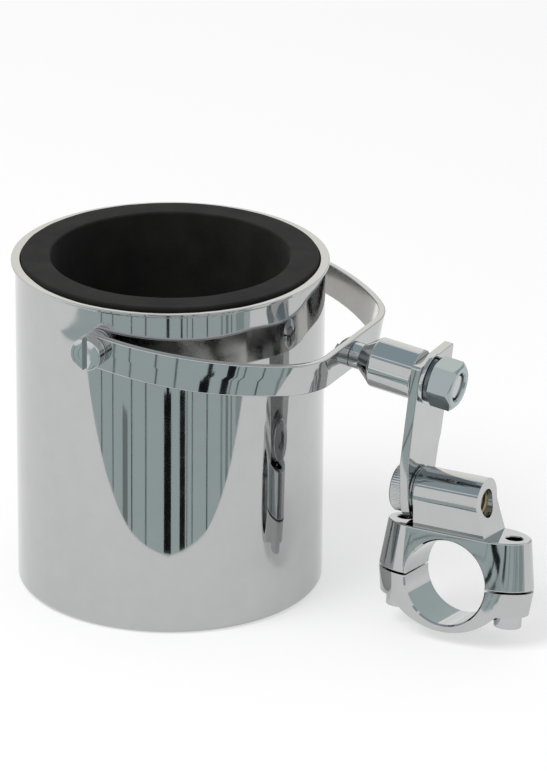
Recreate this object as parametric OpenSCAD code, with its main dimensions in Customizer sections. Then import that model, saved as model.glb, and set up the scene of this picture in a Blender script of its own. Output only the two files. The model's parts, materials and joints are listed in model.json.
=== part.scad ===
// Drink holder for a round bar: a foam-lined cup hangs between the pivots of a bent strap, and a post,
// a flat arm and a split clamp carry the strap. Millimetres, +Z up, origin at the middle of the clamp bore.
// Clamp axes: x runs along the boss away from the cup, y runs along the bore, z points up.

/* [Cup] */
// Height of the cup
cup_h = 101; // [85:1:130]
// Thickness of the cup wall and floor
cup_wall = 1.5; // [0.8:0.1:2]
// Inside radius of the edge between floor and side
foot_fillet = 0.5; // [0.3:0.1:2]
// Height of the thick rim at the top
rim_h = 2.3; // [1.5:0.1:3]
// How far the rim stands out from the side
rim_out = 1.2; // [0.6:0.05:1.4]
// Radius of the rim's outer edges
rim_edge_r = 0.4; // [0.2:0.05:0.6]

/* [Foam lining] */
// Inside diameter of the foam sleeve
sleeve_bore_d = 70.4; // [60:0.2:80]
// Thickness of the foam sleeve
sleeve_t = 8.85; // [7.5:0.05:14]
// How far the sleeve stands out above the rim
sleeve_rise = 1.2; // [0.4:0.1:3]
// Radius of the sleeve's top edges
sleeve_edge_r = 0.8; // [0.4:0.1:3]
// Thickness of the pad on the floor
pad_t = 6; // [3:0.5:12]
// Gap between foam and the pieces round it
foam_gap = 0.15; // [0.1:0.05:0.3]

/* [Strap] */
// Width of the strap
band_w = 10; // [8:0.2:14]
// Thickness of the strap
band_t = 2; // [1.4:0.1:2.4]
// Space between the cup and the outer face of the strap's flat middle
band_reach = 14.8; // [12:0.1:22]
// How much larger than the strap's half width the radius of its bowed sides is
bow_extra_r = 17.7; // [14:0.1:22]
// Angle that each bowed side turns
bow_angle = 46; // [40:1:50]
// Outer radius of the corners
corner_r = 20; // [12:0.5:24]

/* [Pivots] */
// Distance of the pivots below the rim
pivot_drop = 12.3; // [10:0.1:25]
// Shank diameter of the pivot screws
pivot_d = 5; // [4:0.1:6]
// Head diameter of the pivot screws
pivot_head_d = 9.8; // [8:0.1:12]
// Head height of the pivot screws
pivot_head_h = 3.2; // [2:0.1:4]
// Width of the screwdriver slot
slot_w = 1.5; // [1:0.1:2]
// Depth of the screwdriver slot
slot_depth = 1.5; // [0.8:0.1:1.8]
// Thickness of the washer under the head
pivot_washer_t = 0.7; // [0.5:0.1:1.2]
// Thickness of the spacer between strap and cup
pivot_spacer_t = 1.5; // [1.4:0.1:4]
// Distance across flats of the nuts inside the cup
pivot_nut_af = 8; // [7.5:0.5:9]
// Thickness of the nuts inside the cup
pivot_nut_t = 3.2; // [2.5:0.1:3.6]
// Length of screw that stands out of its nut
pivot_tip = 0.4; // [0.2:0.1:0.6]

/* [Post] */
// Diameter of the neck
neck_d = 7.8; // [7:0.1:10]
// Length of the neck
neck_l = 3.2; // [2:0.1:6]
// Length of the cone
cone_l = 4.8; // [3:0.1:8]
// Diameter of the barrel
barrel_d = 15; // [12:0.1:15.2]
// Length of the barrel
barrel_l = 13.6; // [10:0.1:20]
// Diameter of the threaded stud
stud_d = 8; // [6:0.5:8.5]
// How far the stud's end stays inside the nut
stud_recess = 0.8; // [0.4:0.1:1.5]
// Diameter of the screw through the strap
bail_screw_d = 5; // [4:0.1:5.2]
// Length of that screw inside the post
bail_screw_grip = 12; // [8:0.5:16]
// Diameter of its domed head
dome_d = 9.5; // [8:0.1:10]
// Height of its domed head
dome_h = 3; // [2:0.1:4]
// Distance across flats of the key socket in the domed head
dome_key_af = 3; // [2.5:0.5:4]
// Depth of that key socket
dome_key_depth = 1.8; // [1:0.1:2]

/* [Nut and washers] */
// Thickness of the flat washer
flat_washer_t = 1.2; // [1:0.1:2]
// Outside diameter of the flat washer
flat_washer_d = 15; // [14:0.1:15.2]
// Thickness of the spring washer
spring_washer_t = 1.4; // [1.2:0.1:2.2]
// Outside diameter of the spring washer
spring_washer_d = 13.6; // [12:0.1:14.8]
// Width of the cut in the spring washer
spring_cut = 1.2; // [0.8:0.1:2]
// Distance across flats of the nut
nut_af = 13; // [12:0.5:14]
// Height of the nut
nut_h = 7.2; // [6.5:0.1:10]
// Depth of the chamfer at the nut's outer face
nut_chamfer = 1.1; // [0.5:0.1:1.5]
// Turn of the nut on its stud
nut_turn = 35; // [0:5:60]

/* [Arm] */
// Distance between the axes of the two holes, along the arm
arm_l = 37.2; // [31:0.1:50]
// Width of the arm above its shoulder
arm_w = 23.2; // [20:0.2:25]
// How much further the arm reaches to the rear than to the front
arm_back = 2.6; // [0:0.2:3]
// Height above the foot's hole where the arm reaches its full width at the rear
arm_shoulder_h = 13; // [12.6:0.1:18]
// Diameter of the arm's round foot
arm_foot_d = 17.6; // [16:0.1:22]
// Thickness of the arm
arm_t = 2.8; // [2:0.1:4]
// How far the upper hole lies to the front of the arm's middle
arm_hole_shift = 3; // [0:0.1:4]
// Length of arm above the upper hole
arm_top = 5.6; // [5:0.1:12]
// Angle of the slight bend between the arm's two holes
arm_set = 7; // [0:0.5:10]
// Height of the bend above the foot's hole
arm_bend_h = 11; // [9.5:0.1:14]
// Gap between the arm's foot and the clamp below it
arm_foot_gap = 0.4; // [0.3:0.1:1.5]
// Diameter of the bolt at the foot of the arm
arm_bolt_d = 8; // [6:0.5:8.5]
// Length of that bolt inside the boss
arm_bolt_grip = 14; // [10:0.5:16]
// Diameter of its round head
arm_head_d = 14.4; // [12:0.1:18]
// Height of its round head
arm_head_h = 4.5; // [3.5:0.1:6]
// Distance across flats of its key socket
arm_key_af = 6; // [5:0.5:6.5]
// Depth of its key socket
arm_key_depth = 2.6; // [1.5:0.1:3]
// Thickness of the washer between arm and boss
arm_washer_t = 1; // [0.6:0.1:1.6]
// Outside diameter of that washer
arm_washer_d = 13.6; // [12:0.1:14.8]

/* [Clamp] */
// Diameter of the bar that the clamp holds
bar_d = 25.4; // [20:0.1:32]
// Width of the clamp along the bar
clamp_w = 17.2; // [16:0.1:22]
// Wall between the bore and the clamp screws
ear_wall = 2.2; // [1.5:0.1:5]
// Distance of each ear's end from its screw
ear_tip = 7.1; // [6:0.1:9]
// Radius of the ears' round ends
ear_nose_r = 5.6; // [4.5:0.1:6.5]
// Angle by which the ears' ends lean inwards, away from the split
ear_draft = 8; // [0:0.5:10]
// Wall above the bore, which the ears' tops are level with
crown_t = 2.2; // [1.5:0.1:6]
// Height of the lower ears below the split
ear_lower_h = 7.6; // [5:0.1:10]
// Wall below the bore, at the middle of the round cap
cap_wall = 2.2; // [1.6:0.1:5]
// Radius of the cap's underside
cap_r = 22.5; // [20:0.5:40]
// Gap between the two halves
split_gap = 0.5; // [0.3:0.1:1.5]
// Chamfer at both ends of the bore
bore_chamfer = 0.5; // [0.3:0.1:1.2]
// Diameter of the boss
boss_d = 15; // [14:0.1:15.2]
// How far the boss stays inside the clamp's front and rear faces
boss_inset = 0.2; // [0.1:0.1:0.8]
// Length of the boss
boss_l = 20; // [18:0.5:26]
// Distance of the boss's outer end from the bore's middle
boss_out = 8; // [3:0.5:9]
// How much further out than its middle the boss's sloping end reaches at its foot
boss_foot = 2.8; // [0.4:0.1:3.5]
// Angle by which the boss's front draws in towards its foot
boss_draft = 10; // [0:1:20]
// Diameter of the tapped hole at the boss's outer end
boss_tap_d = 7; // [5:0.1:7.2]
// Diameter of the clamp screws
clamp_screw_d = 5; // [4:0.1:6]
// Length of each clamp screw inside the upper half
clamp_screw_grip = 9; // [6:0.5:10]
// Head diameter of the clamp screws
clamp_head_d = 8.2; // [7.5:0.1:10]
// Head height of the clamp screws
clamp_head_h = 4.2; // [3:0.1:6]
// Distance across flats of their key sockets
clamp_key_af = 4; // [3:0.5:5]
// Depth of their key sockets
clamp_key_depth = 2.4; // [1.5:0.1:2.6]

/* [Set-up] */
// Angle by which the clamp is turned about the boss
clamp_lean = -8; // [-15:0.5:15]

/* [Hidden] */
$fn = 96;
// Running clearance of a shank in its hole, on the radius
shank_gap = 0.05;
// The same for a washer on its bolt
washer_gap = 0.2;
// Play of a strap end between its washers
side_play = 0.1;
// Gap between the corners of a nut and the cup's curved wall
nut_seat_gap = 0.1;
// Gap between foam and a nut or screw end in its pocket
pocket_gap = 0.45;
// Gap round a clamp screw's head where it sits beside the cap
head_gap = 0.35;
// Small overlap that joins solids of one piece or makes a cut run past a face
lap = 0.1;
// Length by which a drilled hole runs past a curved wall
drill_over = 1.5;
// Room beyond a screw's end in its hole
tip_room = 0.5;

chrome = [0.78, 0.8, 0.82];
foam_black = [0.13, 0.13, 0.13];

sleeve_bore_r = sleeve_bore_d / 2;
sleeve_r = sleeve_bore_r + sleeve_t;
sleeve_top = cup_h + sleeve_rise;
cup_inner_r = sleeve_r + foam_gap;
cup_r = cup_inner_r + cup_wall;
foot_edge_r = foot_fillet + cup_wall;
pivot_h = cup_h - pivot_drop;
pivot_nut_corner = pivot_nut_af / sqrt(3);
pivot_nut_seat = sqrt(pow(cup_inner_r, 2) - pow(pivot_nut_corner, 2)) - nut_seat_gap;
pivot_end = pivot_nut_seat - pivot_nut_t - pivot_tip;

band_inner_y = cup_r + pivot_spacer_t + side_play;
band_outer_y = band_inner_y + band_t;
band_reach_x = cup_r + band_reach;
bow_r = band_outer_y + bow_extra_r;
bow_start_x = band_reach_x - bow_r * sin(bow_angle) - corner_r * (1 - sin(bow_angle));
bow_steps = 24;
corner_steps = 12;

// Places along the boss's direction, counted from the bore's middle
boss_in = boss_out - boss_l;
arm_outer_x = boss_in - arm_washer_t;
arm_inner_x = arm_outer_x - arm_t;
barrel_x = arm_inner_x - barrel_l;
neck_x = barrel_x - cone_l - neck_l;
pivot_x = neck_x - band_reach_x;
nut_x = arm_outer_x + flat_washer_t + spring_washer_t;
stud_l = nut_x + nut_h - stud_recess - arm_inner_x;
arm_bolt_end = boss_in + arm_bolt_grip;

bar_r = bar_d / 2;
cap_low = bar_r + cap_wall;
ear_x = bar_r + ear_wall + clamp_screw_d / 2;
ear_half_w = clamp_w / 2;
ear_nose_x = ear_x + ear_tip - ear_nose_r;
ear_side_r = (pow(ear_nose_x - bar_r, 2) / (ear_half_w - ear_nose_r) + ear_half_w + ear_nose_r) / 2;
ear_upper_h = bar_r + crown_t;
boss_r = boss_d / 2;
boss_y = boss_inset + boss_r - ear_half_w;
boss_steps = 48;
arm_foot_r = arm_foot_d / 2;
arm_front = (arm_w - arm_back) / 2;
arm_rear = (arm_w + arm_back) / 2;
boss_h = ear_upper_h + arm_foot_r + arm_foot_gap;

// Frames, each one carried by the one before it

module at_clamp() {
    rotate([clamp_lean, 0, 0]) children();
}

module at_boss() {
    at_clamp() translate([0, boss_y, boss_h]) children();
}

// Foot of the arm, with the arm upright
module at_arm() {
    at_boss() rotate([-clamp_lean, 0, 0]) children();
}

// Upper part of the arm, turned about the line of the bend on the arm's outer face
module at_arm_top() {
    at_arm() translate([arm_outer_x, 0, arm_bend_h]) rotate([0, arm_set, 0])
        translate([-arm_outer_x, 0, -arm_bend_h]) children();
}

module at_post() {
    at_arm_top() translate([0, -arm_hole_shift, arm_l]) children();
}

// Middle of the line between the two pivots, with x towards the post
module at_strap() {
    at_post() translate([pivot_x, 0, 0]) children();
}

// Middle of the cup's foot, upright
module at_cup() {
    at_strap() rotate([0, -arm_set, 0]) translate([0, 0, -pivot_h]) children();
}

// Pivot line of one side, with z pointing outwards from the cup's middle
module at_pivot(side) {
    at_cup() translate([0, 0, pivot_h]) rotate([-90 * side, 0, 0]) children();
}

// Shapes used by several pieces

// Cylinder about x from one place to another
module rod_x(from, to, r) {
    translate([from, 0, 0]) rotate([0, 90, 0]) cylinder(h = to - from, r = r);
}

module ring(inner_r, outer_r, t) {
    difference() {
        cylinder(h = t, r = outer_r);
        translate([0, 0, -lap]) cylinder(h = t + 2 * lap, r = inner_r);
    }
}

module ring_x(from, t, inner_r, outer_r) {
    translate([from, 0, 0]) rotate([0, 90, 0]) ring(inner_r, outer_r, t);
}

module hexagon_bar(af, h) {
    cylinder(h = h, d = af * 2 / sqrt(3), $fn = 6);
}

// Cup

// The wall's section: floor, rounded foot edge, side, and a flat-topped rim with rounded outer edges
module cup_wall_outline() {
    rim_r = cup_r + rim_out;
    rim_low = cup_h - rim_h;
    square([cup_r - foot_edge_r, cup_wall]);
    intersection() {
        translate([cup_r - foot_edge_r, foot_edge_r]) difference() {
            circle(r = foot_edge_r);
            circle(r = foot_fillet);
        }
        translate([cup_r - foot_edge_r, 0]) square(foot_edge_r);
    }
    translate([cup_inner_r, foot_edge_r]) square([cup_wall, cup_h - foot_edge_r]);
    translate([cup_inner_r, rim_low]) square([rim_r - rim_edge_r - cup_inner_r, rim_h]);
    translate([cup_r, rim_low + rim_edge_r]) square([rim_out, rim_h - 2 * rim_edge_r]);
    for (h = [rim_low + rim_edge_r, cup_h - rim_edge_r])
        translate([rim_r - rim_edge_r, h]) circle(r = rim_edge_r);
}

module cup_shell() color(chrome) difference() {
    at_cup() rotate_extrude() cup_wall_outline();
    for (side = [-1, 1])
        at_pivot(side) translate([0, 0, cup_inner_r - drill_over])
            cylinder(h = cup_wall + 2 * drill_over, r = pivot_d / 2 + shank_gap);
}

module foam_sleeve_outline() {
    height = sleeve_top - cup_wall;
    translate([sleeve_bore_r, cup_wall]) square([sleeve_t, height - sleeve_edge_r]);
    translate([sleeve_bore_r + sleeve_edge_r, cup_wall]) square([sleeve_t - 2 * sleeve_edge_r, height]);
    for (r = [sleeve_bore_r + sleeve_edge_r, sleeve_r - sleeve_edge_r])
        translate([r, sleeve_top - sleeve_edge_r]) circle(r = sleeve_edge_r);
}

// The sleeve's foot clears the cup's inner fillet, and two pockets take the pivot nuts
module foam_sleeve() color(foam_black) difference() {
    foot_step = foot_fillet + foam_gap;
    at_cup() difference() {
        rotate_extrude() foam_sleeve_outline();
        translate([0, 0, cup_wall - lap]) ring(sleeve_r - foot_step, cup_r, foot_step + lap);
    }
    for (side = [-1, 1])
        at_pivot(side) translate([0, 0, pivot_end - pocket_gap])
            cylinder(h = cup_r - pivot_end, r = pivot_nut_corner + pocket_gap);
}

module foam_base_pad() color(foam_black) at_cup()
    translate([0, 0, cup_wall]) cylinder(h = pad_t, r = sleeve_bore_r - foam_gap);

// Strap

// Points of an arc about a centre, without its first point
function arc(centre, r, from, to, steps) =
    [for (i = [1 : steps]) let (a = from + (to - from) * i / steps) centre + r * [cos(a), sin(a)]];

// Front half of the strap's line, at a depth below its outer face
function strap_front(depth) = let (
    bow_centre = [bow_start_x, bow_r - band_outer_y],
    corner_centre = bow_centre + (bow_r - corner_r) * [sin(bow_angle), -cos(bow_angle)]
) concat(
    [[0, depth - band_outer_y], [bow_start_x, depth - band_outer_y]],
    arc(bow_centre, bow_r - depth, -90, bow_angle - 90, bow_steps),
    arc(corner_centre, corner_r - depth, bow_angle - 90, 0, corner_steps)
);

function mirrored_back(points) = [for (i = [len(points) - 1 : -1 : 0]) [points[i][0], -points[i][1]]];

function strap_line(depth) = concat(strap_front(depth), mirrored_back(strap_front(depth)));

function reversed(points) = [for (i = [len(points) - 1 : -1 : 0]) points[i]];

module bail_band() color(chrome) at_strap() difference() {
    union() {
        translate([0, 0, -band_w / 2]) linear_extrude(band_w)
            polygon(concat(strap_line(0), reversed(strap_line(band_t))));
        for (side = [-1, 1]) rotate([-90 * side, 0, 0])
            translate([0, 0, band_inner_y]) cylinder(h = band_t, d = band_w);
    }
    rotate([90, 0, 0]) cylinder(h = 2 * band_outer_y + 2 * lap, r = pivot_d / 2 + shank_gap, center = true);
    rod_x(band_reach_x - band_t - lap, band_reach_x + lap, bail_screw_d / 2 + shank_gap);
}

// Pivots, front side -1 and rear side 1

module pivot_screw(side) color(chrome) at_pivot(side) {
    head_from = band_outer_y + side_play + pivot_washer_t;
    translate([0, 0, pivot_end]) cylinder(h = head_from - pivot_end + lap, d = pivot_d);
    translate([0, 0, head_from]) difference() {
        cylinder(h = pivot_head_h, d = pivot_head_d);
        translate([-slot_w / 2, -pivot_head_d, pivot_head_h - slot_depth])
            cube([slot_w, 2 * pivot_head_d, slot_depth + lap]);
    }
}

module pivot_washer(side) color(chrome) at_pivot(side)
    translate([0, 0, band_outer_y + side_play])
        ring(pivot_d / 2 + shank_gap, pivot_head_d / 2, pivot_washer_t);

module pivot_spacer(side) color(chrome) at_pivot(side)
    translate([0, 0, cup_r]) ring(pivot_d / 2 + shank_gap, pivot_head_d / 2, pivot_spacer_t);

module pivot_nut(side) color(chrome) at_pivot(side)
    translate([0, 0, pivot_nut_seat - pivot_nut_t]) difference() {
        hexagon_bar(pivot_nut_af, pivot_nut_t);
        translate([0, 0, -lap]) cylinder(h = pivot_nut_t + 2 * lap, r = pivot_d / 2 + shank_gap);
    }

// Post and what holds it

module bail_screw() color(chrome) at_strap() {
    seat = band_reach_x - band_t;
    dome_r = (pow(dome_h, 2) + pow(dome_d / 2, 2)) / (2 * dome_h);
    rod_x(seat - lap, band_reach_x + bail_screw_grip, bail_screw_d / 2);
    difference() {
        intersection() {
            translate([seat - dome_h + dome_r, 0, 0]) sphere(r = dome_r);
            rod_x(seat - dome_h - lap, seat, dome_d);
        }
        translate([seat - dome_h - lap, 0, 0]) rotate([0, 90, 0])
            hexagon_bar(dome_key_af, dome_key_depth + lap);
    }
}

module barrel_post() color(chrome) at_post() difference() {
    union() {
        rod_x(neck_x, barrel_x - cone_l + lap, neck_d / 2);
        translate([barrel_x - cone_l, 0, 0]) rotate([0, 90, 0])
            cylinder(h = cone_l, r1 = neck_d / 2, r2 = barrel_d / 2);
        rod_x(barrel_x, arm_inner_x, barrel_d / 2);
        rod_x(arm_inner_x - lap, arm_inner_x + stud_l, stud_d / 2);
    }
    rod_x(neck_x - lap, neck_x + bail_screw_grip + tip_room, bail_screw_d / 2 + shank_gap);
}

module stub_flat_washer() color(chrome) at_post()
    ring_x(arm_outer_x, flat_washer_t, stud_d / 2 + washer_gap, flat_washer_d / 2);

module stub_spring_washer() color(chrome) at_post() difference() {
    ring_x(arm_outer_x + flat_washer_t, spring_washer_t, stud_d / 2 + washer_gap, spring_washer_d / 2);
    translate([arm_outer_x, -spring_cut / 2, 0])
        cube([flat_washer_t + spring_washer_t + lap, spring_cut, spring_washer_d]);
}

module stub_nut() color(chrome) at_post() translate([nut_x, 0, 0]) rotate([0, 90, 0]) difference() {
    corner = nut_af / sqrt(3);
    intersection() {
        rotate([0, 0, nut_turn]) hexagon_bar(nut_af, nut_h);
        union() {
            cylinder(h = nut_h - nut_chamfer, r = corner + lap);
            translate([0, 0, nut_h - nut_chamfer])
                cylinder(h = nut_chamfer, r1 = corner + lap, r2 = nut_af / 2 - nut_chamfer / 2);
        }
    }
    translate([0, 0, -lap]) cylinder(h = nut_h + 2 * lap, r = stud_d / 2 + shank_gap);
}

// Arm

// Front view of the arm, y across and z up
module arm_outline() {
    top = arm_l + arm_top;
    circle(r = arm_foot_r);
    polygon([[-arm_foot_r, 0], [arm_foot_r, 0], [arm_rear, arm_shoulder_h], [arm_rear, top + arm_t],
        [-arm_front, top + arm_t], [-arm_front, top]]);
}

// Side view of the arm, x across and z up, with a mitred bend
module arm_side() {
    rise = arm_l + arm_top - arm_bend_h;
    along = [sin(arm_set), cos(arm_set)];
    across = [-cos(arm_set), sin(arm_set)];
    bend = [arm_outer_x, arm_bend_h];
    polygon([
        [arm_inner_x, -arm_foot_r - lap], [arm_outer_x, -arm_foot_r - lap], bend, bend + rise * along,
        bend + rise * along + arm_t * across, [arm_inner_x, arm_bend_h + arm_t * tan(arm_set / 2)]
    ]);
}

module link_arm() color(chrome) difference() {
    reach = arm_l + arm_top;
    at_arm() intersection() {
        translate([0, arm_w, 0]) rotate([90, 0, 0]) linear_extrude(2 * arm_w) arm_side();
        translate([arm_inner_x - reach, 0, 0]) rotate([90, 0, 90]) linear_extrude(2 * reach) arm_outline();
    }
    at_arm() rod_x(arm_inner_x - lap, arm_outer_x + lap, arm_bolt_d / 2 + shank_gap);
    at_post() rod_x(arm_inner_x - lap, arm_outer_x + lap, stud_d / 2 + shank_gap);
}

module arm_bolt() color(chrome) at_boss() difference() {
    union() {
        rod_x(arm_inner_x - arm_head_h, arm_inner_x, arm_head_d / 2);
        rod_x(arm_inner_x - lap, arm_bolt_end, arm_bolt_d / 2);
    }
    translate([arm_inner_x - arm_head_h - lap, 0, 0]) rotate([0, 90, 0])
        hexagon_bar(arm_key_af, arm_key_depth + lap);
}

module arm_washer() color(chrome) at_boss()
    ring_x(arm_outer_x, arm_washer_t, arm_bolt_d / 2 + washer_gap, arm_washer_d / 2);

// Clamp

// Plan of one ear: straight beside the bore, then two arcs that run into the round end
module ear_plan() {
    tangent_x = ear_nose_x + ear_nose_r * (ear_nose_x - bar_r) / (ear_side_r - ear_nose_r);
    translate([-bar_r, -ear_half_w]) square([2 * bar_r, clamp_w]);
    intersection() {
        translate([bar_r, ear_side_r - ear_half_w]) circle(r = ear_side_r);
        translate([bar_r, ear_half_w - ear_side_r]) circle(r = ear_side_r);
        translate([bar_r - lap, -ear_half_w]) square([tangent_x - bar_r + lap, clamp_w]);
    }
    translate([ear_nose_x, 0]) circle(r = ear_nose_r);
}

// Both ears between two heights, with their ends leaning inwards as they rise
module ears(low, high, lean) {
    reach = ear_nose_x + ear_nose_r + clamp_w;
    stock = ear_upper_h + ear_lower_h;
    intersection() {
        union() for (end = [0, 1])
            mirror([end, 0, 0]) rotate([0, -lean, 0]) translate([0, 0, -stock])
                linear_extrude(2 * stock) ear_plan();
        translate([-reach, -clamp_w, low]) cube([2 * reach, 2 * clamp_w, high - low]);
    }
}

module bar_bore() {
    rotate([90, 0, 0]) {
        cylinder(h = clamp_w + 2 * lap, r = bar_r, center = true);
        for (end = [0, 1]) mirror([0, 0, end]) translate([0, 0, clamp_w / 2 - bore_chamfer])
            cylinder(h = bore_chamfer + lap, r1 = bar_r, r2 = bar_r + bore_chamfer + lap);
    }
}

// Round bar on a foot that draws in at the front and runs out to the clamp's rear face, with an end
// that slopes out from the middle down
module boss() {
    foot = boss_h - ear_upper_h + lap;
    front_foot = (boss_r - foot * sin(boss_draft)) / cos(boss_draft);
    rear_foot = ear_half_w - boss_inset - boss_y;
    rear_turn = acos(boss_r / norm([rear_foot, foot])) - atan2(foot, rear_foot);
    rear_side = boss_r * [cos(rear_turn), sin(rear_turn)];
    top = arc([0, 0], boss_r, rear_turn, 180 + boss_draft, boss_steps);
    intersection() {
        translate([boss_in, 0, 0]) rotate([90, 0, 90]) linear_extrude(boss_l + boss_foot)
            polygon(concat([[-front_foot, -foot], [rear_foot, -foot], rear_side], top));
        translate([0, clamp_w, 0]) rotate([90, 0, 0]) linear_extrude(2 * clamp_w) polygon([
            [boss_in, boss_d], [boss_out, boss_d], [boss_out, 0],
            [boss_out + boss_foot, -foot], [boss_in, -foot]
        ]);
    }
}

module clamp_upper() color(chrome) at_clamp() difference() {
    union() {
        ears(split_gap / 2, ear_upper_h, ear_draft);
        translate([0, boss_y, boss_h]) boss();
    }
    bar_bore();
    translate([0, boss_y, boss_h]) {
        rod_x(boss_in - lap, arm_bolt_end + tip_room, arm_bolt_d / 2 + shank_gap);
        rod_x(arm_bolt_end, boss_out + boss_foot, boss_tap_d / 2);
    }
    for (side = [-1, 1]) translate([side * ear_x, 0, 0])
        cylinder(h = ear_upper_h + lap, r = clamp_screw_d / 2 + shank_gap);
}

// The cap is the part of the ears' stock above a wide arc, cut away round the screw heads
module clamp_lower() color(chrome) at_clamp() difference() {
    union() {
        intersection() {
            ears(-cap_low - lap, -split_gap / 2, -ear_draft);
            translate([0, 0, cap_r - cap_low]) rotate([90, 0, 0])
                cylinder(h = 2 * clamp_w, r = cap_r, center = true);
        }
        ears(-ear_lower_h, -split_gap / 2, -ear_draft);
    }
    bar_bore();
    for (side = [-1, 1]) translate([side * ear_x, 0, -ear_lower_h]) {
        translate([0, 0, -lap]) cylinder(h = ear_lower_h + 2 * lap, r = clamp_screw_d / 2 + shank_gap);
        translate([0, 0, -cap_low]) cylinder(h = cap_low, r = clamp_head_d / 2 + head_gap);
    }
}

module clamp_screw(side) color(chrome) at_clamp() translate([side * ear_x, 0, -ear_lower_h]) {
    translate([0, 0, -lap]) cylinder(h = lap + ear_lower_h + clamp_screw_grip, d = clamp_screw_d);
    translate([0, 0, -clamp_head_h]) difference() {
        cylinder(h = clamp_head_h, d = clamp_head_d);
        translate([0, 0, -lap]) hexagon_bar(clamp_key_af, clamp_key_depth + lap);
    }
}

cup_shell();
foam_sleeve();
foam_base_pad();
bail_band();
pivot_screw(-1);  // pivot_screw_front
pivot_screw(1);  // pivot_screw_rear
pivot_washer(-1);  // pivot_washer_front
pivot_washer(1);  // pivot_washer_rear
pivot_spacer(-1);  // pivot_spacer_front
pivot_spacer(1);  // pivot_spacer_rear
pivot_nut(-1);  // pivot_nut_front
pivot_nut(1);  // pivot_nut_rear
bail_screw();
barrel_post();
link_arm();
stub_flat_washer();
stub_spring_washer();
stub_nut();
arm_bolt();
arm_washer();
clamp_upper();
clamp_lower();
clamp_screw(-1);  // clamp_screw_left
clamp_screw(1);  // clamp_screw_right
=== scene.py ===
import json
from math import acos, asin, atan2, cos, degrees, hypot, pi, radians, sin, sqrt, tan

import bpy
from mathutils import Matrix, Vector


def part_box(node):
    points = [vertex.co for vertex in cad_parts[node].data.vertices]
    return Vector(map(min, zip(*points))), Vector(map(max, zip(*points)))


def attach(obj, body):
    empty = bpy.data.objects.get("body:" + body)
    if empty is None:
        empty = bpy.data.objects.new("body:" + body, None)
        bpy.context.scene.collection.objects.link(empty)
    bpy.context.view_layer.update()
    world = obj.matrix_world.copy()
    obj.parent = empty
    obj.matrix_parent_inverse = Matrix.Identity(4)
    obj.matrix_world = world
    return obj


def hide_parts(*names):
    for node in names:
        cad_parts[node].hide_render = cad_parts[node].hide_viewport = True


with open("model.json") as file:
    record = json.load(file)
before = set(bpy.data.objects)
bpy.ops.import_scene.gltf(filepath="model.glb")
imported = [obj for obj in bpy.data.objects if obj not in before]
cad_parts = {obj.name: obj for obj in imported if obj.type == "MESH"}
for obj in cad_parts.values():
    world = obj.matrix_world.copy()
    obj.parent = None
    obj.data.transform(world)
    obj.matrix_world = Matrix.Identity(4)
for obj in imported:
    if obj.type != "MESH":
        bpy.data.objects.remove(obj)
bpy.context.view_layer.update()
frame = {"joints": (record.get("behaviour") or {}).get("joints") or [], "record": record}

# Upper half of the clamp: a polished zinc casting with bright chrome plating, two ears and a round boss.
# Cast in one piece, bored across for the bar, drilled through both ears and tapped right through the boss.
mm = 0.001
joint = {row["name"]: row for row in frame["joints"]}
mount = {row["name"]: row for row in frame["record"]["mounts"]}
bar_r = mount["bar_clamp"]["dims"]["r_mm"] * mm
clamp_w = 17.2 * mm
half_w = clamp_w / 2
half_gap = 0.25 * mm
ear_x = joint["clamp_screw_right_turn"]["pos_m"][0]
bore_wall = 2.2 * mm
ear_top = bar_r + bore_wall
ear_end = 7.1 * mm
nose_r = 5.6 * mm
nose_x = ear_x + ear_end - nose_r
ear_draft = radians(8)
screw_r = 2.5 * mm
hole_gap = 0.05 * mm
boss_r = 7.5 * mm
boss_in = -12 * mm
boss_out = 8 * mm
boss_foot = 2.8 * mm
boss_inset = 0.2 * mm
boss_draft = radians(10)
boss_bend_r = 10 * mm
boss_round = 0.5 * mm
ear_round = 0.45 * mm
bore_chamfer = 0.5 * mm
bolt_r = 4 * mm
bolt_end = 2 * mm
tap_r = 3.5 * mm
thread_depth = 0.45 * mm
thread_pitch = 1.25 * mm
tap_mouth = 0.4 * mm
tap_flare = 0.3 * mm
hole_mouth = 0.3 * mm
past = 0.5 * mm


def axes_at(origin, x_axis, z_axis):
    """Matrix of a local frame from its origin, its x axis and its z axis."""
    x = Vector(x_axis).normalized()
    z = Vector(z_axis).normalized()
    turn = Matrix((x, z.cross(x), z)).transposed()
    return Matrix.Translation(origin) @ turn.to_4x4()


def about_x(origin, x_axis, z_axis):
    """Matrix that lays a piece turned about z along the x axis of such a frame."""
    return axes_at(origin, x_axis, z_axis) @ Matrix.Rotation(pi / 2, 4, "Y")


def arc(middle, r, start, end, steps):
    """Points of a round stretch, angles in degrees, both ends included."""
    angles = [radians(start + (end - start) * i / steps) for i in range(steps + 1)]
    return [(middle[0] + r * cos(a), middle[1] + r * sin(a)) for a in angles]


def flat_face(name, points):
    """A face with a given outline: a filled circle whose rim points are moved to it."""
    bpy.ops.object.select_all(action="DESELECT")
    bpy.ops.mesh.primitive_circle_add(vertices=len(points), radius=mm, fill_type="NGON")
    face = bpy.context.object
    face.name = name
    face.data.name = name
    for vertex, point in zip(face.data.vertices, points):
        vertex.co = point
    return face


def plate(name, points, depth, taper=(1, 1, 1)):
    """A solid drawn out of such a face, with its far end scaled about the origin."""
    solid = flat_face(name, points)
    bpy.ops.object.mode_set(mode="EDIT")
    bpy.ops.mesh.select_all(action="SELECT")
    bpy.ops.mesh.extrude_region_move(TRANSFORM_OT_translate={"value": depth})
    bpy.ops.transform.resize(value=taper, center_override=(0, 0, 0))
    bpy.ops.mesh.select_all(action="SELECT")
    bpy.ops.mesh.normals_make_consistent(inside=False)
    bpy.ops.object.mode_set(mode="OBJECT")
    return solid


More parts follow.
